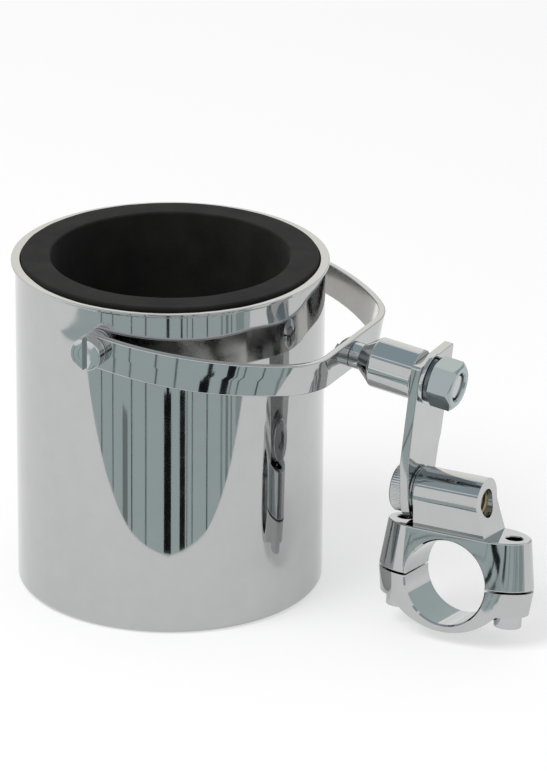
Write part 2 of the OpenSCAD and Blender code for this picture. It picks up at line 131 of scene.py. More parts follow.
def turned(name, profile, segments=128, hollow=False):
    """A solid turned about z from points (radius, height); a hollow one ends where it began."""
    r, h = profile[0]
    bpy.ops.object.select_all(action="DESELECT")
    fill = "NOTHING" if hollow else "NGON"
    bpy.ops.mesh.primitive_circle_add(vertices=segments, radius=r, fill_type=fill)
    solid = bpy.context.object
    solid.name = name
    solid.data.name = name
    bpy.ops.object.mode_set(mode="EDIT")
    bpy.ops.mesh.select_all(action="SELECT")
    bpy.ops.transform.translate(value=(0, 0, h))
    for next_r, next_h in profile[1:]:
        bpy.ops.mesh.extrude_edges_move(TRANSFORM_OT_translate={"value": (0, 0, next_h - h)})
        bpy.ops.transform.resize(value=(next_r / r, next_r / r, 1), center_override=(0, 0, 0))
        r, h = next_r, next_h
    if not hollow:
        bpy.ops.mesh.edge_face_add()
    bpy.ops.mesh.select_all(action="SELECT")
    bpy.ops.mesh.remove_doubles(threshold=0.001 * mm)
    bpy.ops.mesh.normals_make_consistent(inside=False)
    bpy.ops.object.mode_set(mode="OBJECT")
    return solid


def place(piece, matrix):
    """Puts a piece in its place and keeps the place in its mesh."""
    bpy.ops.object.select_all(action="DESELECT")
    piece.select_set(True)
    bpy.context.view_layer.objects.active = piece
    piece.matrix_world = matrix
    bpy.ops.object.transform_apply(location=True, rotation=True, scale=True)
    return piece


def cut(piece, tool, operation="DIFFERENCE"):
    """Cuts a piece with a tool, or joins or intersects them, and uses the tool up."""
    bpy.ops.object.select_all(action="DESELECT")
    piece.select_set(True)
    bpy.context.view_layer.objects.active = piece
    bpy.ops.object.modifier_add(type="BOOLEAN")
    step = piece.modifiers[-1]
    step.operation = operation
    step.solver = "EXACT"
    step.object = tool
    bpy.ops.object.modifier_apply(modifier=step.name)
    bpy.data.objects.remove(tool)
    return piece


def soften(piece, width, angle=40, segments=3):
    """Rounds the edges that are sharper than an angle."""
    bpy.ops.object.select_all(action="DESELECT")
    piece.select_set(True)
    bpy.context.view_layer.objects.active = piece
    bpy.ops.object.modifier_add(type="BEVEL")
    step = piece.modifiers[-1]
    step.width = width
    step.segments = segments
    step.limit_method = "ANGLE"
    step.angle_limit = radians(angle)
    bpy.ops.object.modifier_apply(modifier=step.name)
    return piece


def polish(piece, angle=35):
    """Smooth shading with crisp flats: edges past the angle stay sharp, large faces set the normals."""
    bpy.ops.object.select_all(action="DESELECT")
    piece.select_set(True)
    bpy.context.view_layer.objects.active = piece
    bpy.ops.object.shade_smooth_by_angle(angle=radians(angle))
    bpy.ops.object.modifier_add(type="WEIGHTED_NORMAL")
    step = piece.modifiers[-1]
    step.keep_sharp = True
    bpy.ops.object.modifier_apply(modifier=step.name)
    return piece


def chrome(name, colour, gloss, ripple):
    """Bright plating: faint cloudy haze in the gloss and a slight ripple left from polishing."""
    material = bpy.data.materials.new(name)
    material.use_nodes = True
    nodes = material.node_tree.nodes
    link = material.node_tree.links.new
    shader = nodes["Principled BSDF"]
    shader.inputs["Metallic"].default_value = 1
    where = nodes.new("ShaderNodeTexCoord")
    haze = nodes.new("ShaderNodeTexNoise")
    haze.inputs["Scale"].default_value = 160
    haze.inputs["Detail"].default_value = 6
    link(where.outputs["Object"], haze.inputs["Vector"])
    tone = nodes.new("ShaderNodeValToRGB")
    tone.color_ramp.elements[0].position = 0.3
    tone.color_ramp.elements[0].color = [0.965 * c for c in colour] + [1]
    tone.color_ramp.elements[1].position = 0.7
    tone.color_ramp.elements[1].color = list(colour) + [1]
    link(haze.outputs["Fac"], tone.inputs["Fac"])
    link(tone.outputs["Color"], shader.inputs["Base Color"])
    matt = nodes.new("ShaderNodeMapRange")
    matt.inputs["From Min"].default_value = 0.3
    matt.inputs["From Max"].default_value = 0.8
    matt.inputs["To Min"].default_value = gloss
    matt.inputs["To Max"].default_value = gloss + 0.05
    link(haze.outputs["Fac"], matt.inputs["Value"])
    link(matt.outputs["Result"], shader.inputs["Roughness"])
    wave = nodes.new("ShaderNodeTexNoise")
    wave.inputs["Scale"].default_value = 90
    wave.inputs["Detail"].default_value = 1
    link(where.outputs["Object"], wave.inputs["Vector"])
    bump = nodes.new("ShaderNodeBump")
    bump.inputs["Strength"].default_value = 1
    bump.inputs["Distance"].default_value = ripple
    link(wave.outputs["Fac"], bump.inputs["Height"])
    link(bump.outputs["Normal"], shader.inputs["Normal"])
    return material


def fit_out(piece, material, body, slot, *nodes):
    """Gives a piece its finish, hangs it under the empty of the body that carries it and hides the nodes it
    stands for.
    """
    piece.data.materials.clear()
    piece.data.materials.append(material)
    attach(piece, body)
    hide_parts(*nodes)
    return piece


def ear_plan():
    """Plan of both ears, straight beside the bore, then side arcs that run into the round ends."""
    run = nose_x - bar_r
    side_r = (run ** 2 / (half_w - nose_r) + half_w + nose_r) / 2
    turn = degrees(acos((side_r - half_w) / (side_r - nose_r)))
    right = arc((bar_r, side_r - half_w), side_r, -90, turn - 90, 10)
    right += arc((nose_x, 0), nose_r, turn - 90, 0, 10)[1:]
    right += [(x, -y) for x, y in reversed(right[:-1])]
    return right + [(-x, -y) for x, y in right]


def bar_bore():
    """Cutter for the bar, with a chamfer at both faces."""
    flare = bar_r + bore_chamfer
    profile = [(flare + past, -half_w - past), (flare, -half_w), (bar_r, -half_w + bore_chamfer)]
    profile += [(r, -h) for r, h in reversed(profile)]
    return place(turned("bar_bore", profile, 160), Matrix.Rotation(pi / 2, 4, "X"))


def thread(r, depth, pitch, start, end):
    """Profile of a thread's ridges between two heights, from the crest r inwards."""
    turns = int((end - start) / pitch)
    flat = 0.15 * pitch
    flank = 0.35 * pitch
    ridges = []
    for i in range(turns):
        foot = start + i * pitch
        ridges += [(r, foot), (r, foot + flat)]
        ridges += [(r - depth, foot + flat + flank), (r - depth, foot + flat + flank + flat)]
    return ridges + [(r, start + turns * pitch)]


clamp_up = -Vector(joint["jaw_open"]["axis"])
clamp_axes = axes_at((0, 0, 0), (1, 0, 0), clamp_up)
plan = ear_plan()
lean_in = 1 - (ear_top - half_gap) * tan(ear_draft) / (nose_x + nose_r)
upper = plate("upper_clamp_half", [(x, y, half_gap) for x, y in plan],
              (0, 0, ear_top - half_gap), (lean_in, 1, 1))
soften(upper, ear_round)
boss_at = clamp_axes.inverted() @ Vector(joint["arm_tilt"]["pos_m"])
boss_axes = about_x(boss_at, (1, 0, 0), (0, 0, 1))
sunk = boss_at.z - ear_top + past
front_foot = (boss_r - sunk * sin(boss_draft)) / cos(boss_draft)
rear_foot = half_w - boss_inset - boss_at.y
rear_turn = degrees(acos(boss_r / hypot(rear_foot, sunk)) - atan2(sunk, rear_foot))
boss_end = [(-front_foot, -sunk), (rear_foot, -sunk)]
boss_end += arc((0, 0), boss_r, rear_turn, 180 + degrees(boss_draft), 48)
boss_end = [(boss_in, boss_at.y + y, boss_at.z + z) for y, z in boss_end]
boss = plate("boss", boss_end, (boss_out + boss_foot - boss_in, 0, 0))
slope = atan2(boss_foot, sunk)
slope_top = boss_bend_r * tan(slope / 2)
boss_side = [(boss_in, -sunk), (boss_in, 2 * boss_r), (boss_out, 2 * boss_r)]
boss_side += arc((boss_out + boss_bend_r, slope_top), boss_bend_r, 180, 180 + degrees(slope), 5)
boss_side += [(boss_out + boss_foot, -sunk)]
boss_side = [(x, -2 * half_w, boss_at.z + z) for x, z in boss_side]
cut(boss, plate("boss_side", boss_side, (0, 4 * half_w, 0)), "INTERSECT")
soften(boss, boss_round)
cut(upper, boss, "UNION")
cut(upper, bar_bore())
bolt_hole = turned("bolt_hole", [(bolt_r + hole_gap, boss_in - past), (bolt_r + hole_gap, bolt_end)])
cut(upper, place(bolt_hole, boss_axes))
tap_crest = tap_r + thread_depth
tapped = thread(tap_crest, thread_depth, thread_pitch, bolt_end - past, boss_out - tap_mouth)
tapped += [(tap_crest + tap_flare, boss_out + tap_mouth / 2), (tap_crest + tap_flare, boss_out + boss_foot)]
cut(upper, place(turned("tap", tapped, 64), boss_axes))
for side in (-1, 1):
    hole = [(screw_r + hole_gap, 0), (screw_r + hole_gap, ear_top - hole_mouth)]
    hole += [(screw_r + past, ear_top + past / 2)]
    cut(upper, place(turned("ear_hole", hole, 64), Matrix.Translation((side * ear_x, 0, 0))))
polish(place(upper, clamp_axes))
cast_chrome = chrome("cast_chrome", (0.49, 0.495, 0.497), 0.035, 0.012 * mm)
fit_out(upper, cast_chrome, "clamp", "cast_chrome", "clamp_upper")
tap_metal = bpy.data.materials.new("bare_tapped_metal")
tap_metal.use_nodes = True
tap_shader = tap_metal.node_tree.nodes["Principled BSDF"]
tap_shader.inputs["Metallic"].default_value = 1
tap_shader.inputs["Roughness"].default_value = 0.32
tap_grain = tap_metal.node_tree.nodes.new("ShaderNodeTexNoise")
tap_grain.inputs["Scale"].default_value = 1500
tap_tone = tap_metal.node_tree.nodes.new("ShaderNodeValToRGB")
tap_tone.color_ramp.elements[0].color = (0.16, 0.13, 0.07, 1)
tap_tone.color_ramp.elements[1].color = (0.42, 0.36, 0.22, 1)
tap_metal.node_tree.links.new(tap_grain.outputs["Fac"], tap_tone.inputs["Fac"])
tap_metal.node_tree.links.new(tap_tone.outputs["Color"], tap_shader.inputs["Base Color"])
upper.data.materials.append(tap_metal)
for face in upper.data.polygons:
    off = face.center - clamp_axes @ boss_at
    if bolt_end < off.x < boss_out and hypot(off.y, off.z) < tap_crest + 2 * hole_gap:
        face.material_index = 1

# Lower half of the clamp: the loose cap of the same casting, held up against the bar by two screws.
# Its underside is a wide arc between the ears, spot-faced round the screw heads.
ear_low = 7.6 * mm
cap_low = bar_r + bore_wall
cap_r = 22.5 * mm
cap_rise = cap_r - cap_low
head_r = 4.1 * mm
head_room = 0.35 * mm
cap_round = 0.7 * mm
cap_half = sqrt(cap_r ** 2 - (cap_rise + ear_low) ** 2)
cap_angle = degrees(asin(cap_half / cap_r))
wide = 30 * mm
cap_front = [(wide, -half_gap), (-wide, -half_gap), (-wide, -ear_low)]
cap_front += arc((0, cap_rise), cap_r, -90 - cap_angle, -90 + cap_angle, 24) + [(wide, -ear_low)]
lower = plate("lower_clamp_half", [(x, -2 * half_w, z) for x, z in cap_front], (0, 4 * half_w, 0))
cap_draft = 1 - (cap_low + past - half_gap) * tan(ear_draft) / (nose_x + nose_r)
stock = plate("cap_stock", [(x, y, 0) for x, y in plan], (0, 0, -cap_low - past), (cap_draft, 1, 1))
cut(lower, stock, "INTERSECT")
soften(lower, cap_round)
cut(lower, bar_bore())
for side in (-1, 1):
    seat = [(head_r + head_room, -ear_low - 3 * head_r), (head_r + head_room, -ear_low),
            (screw_r + hole_gap, -ear_low), (screw_r + hole_gap, past)]
    cut(lower, place(turned("screw_seat", seat, 64), Matrix.Translation((side * ear_x, 0, 0))))
polish(place(lower, clamp_axes))
fit_out(lower, cast_chrome, "jaw", "cast_chrome", "clamp_lower")

# Two clamp screws: chromed socket-head cap screws that pass through the lower half into the upper one.
# The head is upset with a key socket pressed into it, and the thread is rolled.
head_h = 4.2 * mm
screw_end = 9 * mm
key_af = 4 * mm
key_depth = 2.4 * mm
key_round = 0.12 * mm
head_round = 0.35 * mm
head_break = 0.1 * mm
middle_r = 0.5 * mm
plain_end = -half_gap - 1 * mm
fine_depth = 0.35 * mm
fine_pitch = 0.8 * mm
screw_tip = 0.6 * mm
screw_point = 0.5 * mm


def hexagon(name, af, low, high):
    """Six-sided bar about z between two heights, with a corner on the x axis."""
    bpy.ops.object.select_all(action="DESELECT")
    bpy.ops.mesh.primitive_cylinder_add(vertices=6, radius=af / sqrt(3), depth=high - low,
                                        location=(0, 0, (low + high) / 2), rotation=(0, 0, pi / 6))
    bar = bpy.context.object
    bar.name = name
    bpy.ops.object.transform_apply(location=True, rotation=True, scale=True)
    return bar


fastener_chrome = chrome("fastener_chrome", (0.5, 0.51, 0.515), 0.045, 0.008 * mm)
for side, word in ((-1, "left"), (1, "right")):
    below = -ear_low - head_h
    profile = [(middle_r, below)] + arc((head_r - head_round, below + head_round), head_round, -90, 0, 5)
    profile += [(head_r, -ear_low - head_break), (head_r - head_break, -ear_low), (screw_r, -ear_low)]
    profile += [(screw_r, plain_end)]
    profile += thread(screw_r, fine_depth, fine_pitch, plain_end, screw_end - screw_tip)
    profile += [(screw_r - screw_point, screw_end)]
    screw = turned("socket_screw_" + word, profile, 96)
    cut(screw, hexagon("key", key_af, below - past, below + key_depth))
    soften(screw, key_round, 60, 2)
    polish(place(screw, clamp_axes @ Matrix.Translation((side * ear_x, 0, 0))))
    fit_out(screw, fastener_chrome, "screw_" + word, "fastener_chrome", "clamp_screw_" + word)

# Arm bolt and its washer: a chromed bolt with a low round head, ribbed round its rim for the fingers.
# It passes through the arm's foot and a plain washer and is screwed into the boss.
arm_foot_at = Vector(joint["arm_tilt"]["pos_m"])
foot_washer_t = 1 * mm
foot_washer_r = 6.8 * mm
washer_gap = 0.2 * mm
washer_edge = 0.25 * mm
arm_outer = boss_in - foot_washer_t
arm_t = 2.8 * mm
arm_inner = arm_outer - arm_t
bolt_head_r = 7.2 * mm
bolt_head_h = 4.5 * mm
bolt_head_round = 0.9 * mm
bolt_head_break = 0.4 * mm
bolt_tip = 0.6 * mm
bolt_key_af = 6 * mm
bolt_key_depth = 2.6 * mm
rib_count = 60
rib_points = 4
rib_depth = 0.16 * mm
hair = 0.01 * mm
bolt_axes = about_x(arm_foot_at, (1, 0, 0), clamp_up)
bolt_low = arm_inner - bolt_head_h
head_corner = (bolt_head_r - bolt_head_round, bolt_low + bolt_head_round)
profile = [(middle_r, bolt_low)] + arc(head_corner, bolt_head_round, -90, 0, 6)
profile += [(bolt_head_r, arm_inner - bolt_head_break), (bolt_head_r - bolt_head_break, arm_inner)]
profile += [(bolt_r, arm_inner), (bolt_r, bolt_end - bolt_tip)]
profile += [(bolt_r - bolt_tip, bolt_end - 2 * hole_gap)]
bolt = turned("arm_bolt_ribbed", profile, rib_points * rib_count)
for i, vertex in enumerate(bolt.data.vertices):
    r = hypot(vertex.co.x, vertex.co.y)
    if abs(r - bolt_head_r) < hair and i % rib_points == 0:
        vertex.co.x *= 1 - rib_depth / r
        vertex.co.y *= 1 - rib_depth / r
cut(bolt, hexagon("key", bolt_key_af, bolt_low - past, bolt_low + bolt_key_depth))
polish(place(bolt, bolt_axes), 50)
fit_out(bolt, fastener_chrome, "clamp", "fastener_chrome", "arm_bolt")


def washer(name, bore_r, r, low, t, edge, segments=96):
    """Flat ring about z with rounded edges."""
    profile = [(bore_r, low + edge), (bore_r + edge, low), (r - edge, low)]
    profile += arc((r - edge, low + edge), edge, -90, 0, 4)[1:]
    profile += arc((r - edge, low + t - edge), edge, 0, 90, 4)
    profile += [(bore_r + edge, low + t), (bore_r, low + t - edge), (bore_r, low + edge)]
    return turned(name, profile, segments, hollow=True)


foot_bore = bolt_r + washer_gap
foot_washer = washer("arm_foot_washer", foot_bore, foot_washer_r, arm_outer, foot_washer_t, washer_edge)
polish(place(foot_washer, bolt_axes))
fit_out(foot_washer, fastener_chrome, "clamp", "fastener_chrome", "arm_washer")

# Arm: a chromed flat steel bar that carries the post, with a round foot and a wide square top.
# Punched from plate, drilled twice, then given a slight set between its two holes and plated.
arm_l = 37.2 * mm
arm_foot_r = 8.8 * mm
arm_over = 5.6 * mm
arm_top = arm_l + arm_over
arm_front = 10.3 * mm
arm_rear = 12.9 * mm
shoulder_h = 13 * mm
arm_corner = 1 * mm
arm_round = 0.3 * mm
bend_h = 11 * mm
bend_run = 1.6 * mm
bend_cuts = 8
hole_shift = 3 * mm
post_axis = Vector(joint["bail_roll"]["axis"])
arm_set = acos(post_axis.x)
outline = arc((0, 0), arm_foot_r, 180, 360, 40)
outline += [(arm_rear, shoulder_h)]
outline += arc((arm_rear - arm_corner, arm_top - arm_corner), arm_corner, 0, 90, 5)
outline += arc((arm_corner - arm_front, arm_top - arm_corner), arm_corner, 90, 180, 5)
arm = plate("bent_arm", [(arm_inner, y, z) for y, z in outline], (arm_t, 0, 0))
soften(arm, arm_round)
for hole_at in ((0, 0, 0), (0, -hole_shift, arm_l)):
    hole = [(bolt_r + hole_gap, arm_inner - past), (bolt_r + hole_gap, arm_outer + past)]
    cut(arm, place(turned("arm_hole", hole, 96), about_x(hole_at, (1, 0, 0), (0, 0, 1))))
bpy.ops.object.mode_set(mode="EDIT")
for i in range(bend_cuts + 1):
    bpy.ops.mesh.select_all(action="SELECT")
    cut_h = bend_h - bend_run + 2 * bend_run * i / bend_cuts
    bpy.ops.mesh.bisect(plane_co=(0, 0, cut_h), plane_no=(0, 0, 1))
bpy.ops.object.mode_set(mode="OBJECT")
for vertex in arm.data.vertices:
    t = min(1, max(0, (vertex.co.z - bend_h + bend_run) / (2 * bend_run)))
    turn = arm_set * t
    rise = vertex.co.z - bend_h
    out = vertex.co.x - arm_outer
    if rise > bend_run:
        vertex.co.x = arm_outer + out * cos(turn) + rise * sin(turn)
        vertex.co.z = bend_h - out * sin(turn) + rise * cos(turn)
    elif rise > -bend_run:
        run = bend_run * t * t
        vertex.co.x = arm_outer + out * cos(turn) + run * sin(arm_set)
        vertex.co.z = vertex.co.z - out * sin(turn)
polish(place(arm, Matrix.Translation(arm_foot_at)))
strap_chrome = chrome("strap_chrome", (0.48, 0.485, 0.485), 0.03, 0.01 * mm)
fit_out(arm, strap_chrome, "arm", "strap_chrome", "link_arm")

# Post: a chromed steel turning between strap and arm, with a neck, a cone, a barrel and a threaded stud.
# Turned from bar on a lathe, tapped at its neck for the strap's screw and threaded at the stud.
post_at = Vector(joint["bail_roll"]["pos_m"])
post_up = Vector((0, 1, 0)).cross(-post_axis)
post_axes = about_x(post_at, post_axis, post_up)
barrel_l = 13.6 * mm
cone_l = 4.8 * mm
neck_l = 3.2 * mm
barrel_end = -arm_t
barrel_start = barrel_end - barrel_l
cone_start = barrel_start - cone_l
neck_start = cone_start - neck_l
neck_r = 3.9 * mm
barrel_r = 7.5 * mm
stud_r = 4 * mm
nut_seat = 2.6 * mm
nut_h = 7.2 * mm
stud_recess = 0.8 * mm
stud_end = nut_seat + nut_h - stud_recess
stud_plain = 0.5 * mm
stud_depth = 0.55 * mm
stud_tip = 0.7 * mm
neck_break = 0.2 * mm
soft = 0.1 * mm
round_r = 0.5 * mm
profile = [(2 * middle_r, neck_start), (neck_r - neck_break, neck_start), (neck_r, neck_start + neck_break)]
profile += [(neck_r, cone_start - 3 * soft), (neck_r + soft, cone_start + 1.5 * soft)]
profile += [(barrel_r - 4 * soft, barrel_start - 5.5 * soft)]
profile += [(barrel_r - 1.2 * soft, barrel_start - 1.5 * soft), (barrel_r, barrel_start + 3 * soft)]
profile += arc((barrel_r - round_r, barrel_end - round_r), round_r, 0, 90, 5)
profile += [(stud_r, barrel_end), (stud_r, stud_plain)]
profile += thread(stud_r, stud_depth, thread_pitch, stud_plain, stud_end - stud_tip)
profile += [(stud_r - stud_tip, stud_end)]
post = turned("turned_post", profile, 128)
polish(place(post, post_axes), 30)
turned_chrome = chrome("turned_chrome", (0.49, 0.5, 0.503), 0.03, 0.006 * mm)
fit_out(post, turned_chrome, "bail", "turned_chrome", "barrel_post")

# Washers and nut on the stud: a chromed flat washer, a spring washer coloured dark and a bright zinc-plated
# nut.
# The flat washer is punched, the spring washer is coiled and cut, and the nut is forged and chamfered.
flat_t = 1.2 * mm
spring_t = nut_seat - flat_t
spring_r = 6.8 * mm
spring_bore = 4.2 * mm
spring_cut = 1.2 * mm
spring_edge = 0.3 * mm
flat_washer_r = 7.5 * mm
nut_af = 13 * mm
nut_turn = radians(35)
chamfer = 1.1 * mm
seat_chamfer = 0.4 * mm
nut_round = 0.18 * mm
flat_washer = washer("stud_flat_washer", spring_bore, flat_washer_r, 0, flat_t, washer_edge)
polish(place(flat_washer, post_axes))
fit_out(flat_washer, fastener_chrome, "arm", "fastener_chrome", "stub_flat_washer")
spring = washer("stud_spring_washer", spring_bore, spring_r, flat_t, spring_t, spring_edge)
slit = [(-spring_r - past, -spring_cut / 2, 0), (0, -spring_cut / 2, 0), (0, spring_cut / 2, 0)]
slit += [(-spring_r - past, spring_cut / 2, 0)]
cut(spring, plate("slit", slit, (0, 0, nut_seat + past)))
polish(place(spring, post_axes))
# The spring washer's colour is set much darker than the other chrome fasteners.
spring_steel = chrome("dark_spring_steel", (0.13, 0.15, 0.16), 0.2, 0.01 * mm)
fit_out(spring, spring_steel, "bail", "fastener_chrome", "stub_spring_washer")
nut_end = nut_seat + nut_h
nut = hexagon("hex_nut", nut_af, nut_seat, nut_end)
corner_r = nut_af / sqrt(3)
crown = [(nut_af / 2, nut_seat), (corner_r + past, nut_seat + seat_chamfer)]
crown += [(corner_r + 2 * hole_gap, nut_end - chamfer), (nut_af / 2 - chamfer / 2, nut_end)]
cut(nut, turned("crown", crown, 128), "INTERSECT")
soften(nut, nut_round, 20, 2)
bore = [(stud_r + past, nut_seat - past), (stud_r + hole_gap, nut_seat + hole_mouth)]
bore += [(stud_r + hole_gap, nut_end - past), (stud_r + past + seat_chamfer, nut_end + seat_chamfer)]
cut(nut, turned("nut_bore", bore, 64))
polish(place(nut, post_axes @ Matrix.Rotation(nut_turn, 4, "Z")), 25)
bright_zinc = chrome("bright_zinc", (0.36, 0.41, 0.42), 0.16, 0.012 * mm)
fit_out(nut, bright_zinc, "bail", "fastener_chrome", "stub_nut")

# Strap: a chromed flat steel band that runs round half the cup and carries it between two pivots.
# Cut to length with round ends and drilled three times, then bent over a former and plated.
# The bending leaves it leaning a little beside its middle. Its inside is less glossy and painted lighter, as
# painted reflected light.
strap_w = 10 * mm
strap_t = 2 * mm
strap_middle = neck_start
pivot_at = Vector(joint["cup_swing"]["pos_m"])
pivot_x = (pivot_at - post_at).dot(post_axis)
pivot_r = 2.5 * mm
reach = strap_middle - pivot_x
outer_y = 49.3 * mm
bow_past = 17.7 * mm
bow_r = outer_y + bow_past
bow_angle = radians(46)
turn_r = 20 * mm
bow_start = reach - bow_r * sin(bow_angle) - turn_r * (1 - sin(bow_angle))
flat_half = outer_y - bow_r + (bow_r - turn_r) * cos(bow_angle)
turn_len = turn_r * (pi / 2 - bow_angle)
bow_len = bow_r * bow_angle
half_len = flat_half + turn_len + bow_len + bow_start
strap_edge = 0.45 * mm
strap_cuts = 160
strap_lean = radians(7.5)
lean_run = 36 * mm
facing_in = 0.5
facing_up = 0.3


def strap_point(s, depth):
    """Place on the bent strap, from its middle along its outer face and down into its thickness."""
    side = -1 if s < 0 else 1
    s = abs(s)
    middle_y = outer_y - bow_r
    if s < flat_half:
        return reach - depth, side * s
    s -= flat_half
    if s < turn_len:
        a = s / turn_r
        return reach - turn_r + (turn_r - depth) * cos(a), side * (flat_half + (turn_r - depth) * sin(a))
    s -= turn_len
    if s < bow_len:
        a = pi / 2 - bow_angle + s / bow_r
        return bow_start + (bow_r - depth) * cos(a), side * (middle_y + (bow_r - depth) * sin(a))
    return bow_start - (s - bow_len), side * (outer_y - depth)


ends = arc((half_len, 0), strap_w / 2, -90, 90, 32) + arc((-half_len, 0), strap_w / 2, 90, 270, 32)
strap = plate("bent_strap", [(s, w, 0) for s, w in ends], (0, 0, strap_t))
soften(strap, strap_edge)
for s in (-half_len, 0, half_len):
    hole = turned("strap_hole", [(pivot_r + hole_gap, -past), (pivot_r + hole_gap, strap_t + past)], 64)
    cut(strap, place(hole, Matrix.Translation((s, 0, 0))))
bpy.ops.object.mode_set(mode="EDIT")
for i in range(1, strap_cuts):
    bpy.ops.mesh.select_all(action="SELECT")
    bpy.ops.mesh.bisect(plane_co=(half_len * (2 * i / strap_cuts - 1), 0, 0), plane_no=(1, 0, 0))
bpy.ops.object.mode_set(mode="OBJECT")
for vertex in strap.data.vertices:
    part = min(max(abs(vertex.co.x) - flat_half, 0) / lean_run, 2)
    lean = strap_lean * sin(pi * part) * (1 - part / 2)
    x, y = strap_point(vertex.co.x, strap_t - vertex.co.z - vertex.co.y * tan(lean))
    vertex.co = (x, y, vertex.co.y)
bpy.ops.object.mode_set(mode="EDIT")
bpy.ops.mesh.select_all(action="SELECT")
bpy.ops.mesh.normals_make_consistent(inside=False)
bpy.ops.object.mode_set(mode="OBJECT")
strap_axes = axes_at(pivot_at, post_axis, post_up)
polish(place(strap, strap_axes))
fit_out(strap, strap_chrome, "bail", "strap_chrome", "bail_band")
# The inner faces get a rougher chrome painted much lighter than the outside: painted reflected light.
strap.data.materials.append(chrome("strap_inner_painted_light_chrome", (0.74, 0.73, 0.7), 0.14, 0.01 * mm))
for face in strap.data.polygons:
    inward = (pivot_at - face.center).normalized()
    if face.normal.dot(inward) > facing_in and abs(face.normal.dot(post_up)) < facing_up:
        face.material_index = 1

# Strap screw: a chromed domed screw with a key socket, through the strap's middle into the post.
# It sits on the strap's inner face and holds the strap against the post's neck.
dome_r = 4.75 * mm
dome_h = 3 * mm
dome_seat = strap_middle - strap_t
dome_top = dome_seat - dome_h
dome_pole = 2
dome_plain = 0.2 * mm
dome_thread_l = 13 * mm
dome_screw_l = 13.9 * mm
dome_key_af = 3 * mm
dome_key_depth = 1.8 * mm
ball_r = (dome_h ** 2 + dome_r ** 2) / (2 * dome_h)
dome_angle = degrees(asin(dome_r / ball_r))
profile = arc((0, dome_top + ball_r), ball_r, -90 + dome_pole, -90 + dome_angle, 14)
profile += [(dome_r, dome_seat - head_break / 2), (dome_r - head_break, dome_seat), (pivot_r, dome_seat)]
profile += thread(pivot_r, fine_depth, fine_pitch, dome_seat + dome_plain, dome_seat + dome_thread_l)
profile += [(pivot_r - screw_point, dome_seat + dome_screw_l)]
dome_screw = turned("domed_strap_screw", profile, 96)
cut(dome_screw, hexagon("key", dome_key_af, dome_top - past, dome_top + dome_key_depth))
polish(place(dome_screw, post_axes), 40)
fit_out(dome_screw, fastener_chrome, "bail", "fastener_chrome", "bail_screw")

# Cup: a chromed cup drawn in one piece from steel sheet, with a rounded foot and a short lip at the rim.
# It hangs in the strap by two pivot screws, which go through its side a little below the rim.
cup_low, cup_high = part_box("cup_shell")
cup_foot = Vector((pivot_at.x, pivot_at.y, cup_low.z))
cup_h = cup_high.z - cup_low.z
cup_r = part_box("pivot_spacer_rear")[0].y - pivot_at.y
cup_wall = 1.5 * mm
rim_r = (cup_high.x - cup_low.x) / 2
lip_h = 1.6 * mm
lip_top = 0.7 * mm
lip_steps = 12
rim_low = cup_h - lip_h
rim_high = cup_h - lip_top
rim_edge = 0.25 * mm
foot_r = 2 * mm
foot_in = 0.5 * mm
inner_r = cup_r - cup_wall
inner_edge = 0.25 * mm
floor_r = cup_r - foot_r
hub_r = 2 * mm
middle_h = 60 * mm
foot_rings = (6 * mm, 1 * mm)
wall_rings = (5 * mm, 30 * mm, middle_h, cup_h - 5 * mm)
profile = [(hub_r, 0)] + [(floor_r - inset, 0) for inset in foot_rings]
profile += arc((floor_r, foot_r), foot_r, -90, 0, 8)
profile += [(cup_r, h) for h in wall_rings]
for i in range(lip_steps + 1):
    share = i / lip_steps
    swell = (rim_r - cup_r) * (1 - cos(pi * share)) / 2
    profile += [(cup_r + swell, rim_low + (rim_high - rim_low) * share)]
profile += arc((rim_r - rim_edge, cup_h - rim_edge), rim_edge, 0, 90, 5)
profile += arc((inner_r + inner_edge, cup_h - inner_edge), inner_edge, 90, 180, 4)
profile += [(inner_r, middle_h), (inner_r, foot_in + cup_wall)]
profile += arc((inner_r - foot_in, cup_wall + foot_in), foot_in, 0, -90, 4)[1:] + [(hub_r, cup_wall)]
cup = turned("drawn_cup", profile, 256)
polish(place(cup, Matrix.Translation(cup_foot)), 30)
cup_chrome = chrome("cup_chrome", (0.475, 0.478, 0.478), 0.028, 0.006 * mm)
fit_out(cup, cup_chrome, "cup", "cup_chrome", "cup_shell")

# Foam lining: a sleeve and a floor pad of black closed-cell foam that grip and cushion what is put in.
# Cut from sheet and pressed into the cup; the sleeve stands a little above the rim, with a flat cut top.
sleeve_r = (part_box("foam_sleeve")[1].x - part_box("foam_sleeve")[0].x) / 2
sleeve_bore = mount["can_well"]["dims"]["r_mm"] * mm
sleeve_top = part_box("foam_sleeve")[1].z - cup_foot.z
sleeve_edge = 0.8 * mm
sleeve_rings = (20 * mm, 50 * mm, 80 * mm, sleeve_top - 4 * mm)
sag = 0.1 * mm
foot_step = 0.65 * mm
foam_wave = 0.25 * mm
sleeve_lump = 9 * mm
profile = [(sleeve_bore, cup_wall)]
profile += [(sleeve_bore, h) for h in sleeve_rings]
profile += arc((sleeve_bore + sleeve_edge, sleeve_top - sag - sleeve_edge), sleeve_edge, 180, 90, 6)
profile += [(sleeve_bore + part * (sleeve_r - sleeve_bore), sleeve_top - sag / 2) for part in (0.3, 0.5, 0.7)]
profile += arc((sleeve_r - sleeve_edge, sleeve_top - sag - sleeve_edge), sleeve_edge, 90, 0, 6)
profile += [(sleeve_r, h) for h in reversed(sleeve_rings)]
profile += [(sleeve_r, cup_wall + foot_step), (sleeve_r - foot_step, cup_wall), (sleeve_bore, cup_wall)]
sleeve = turned("foam_lining", profile, 192, hollow=True)


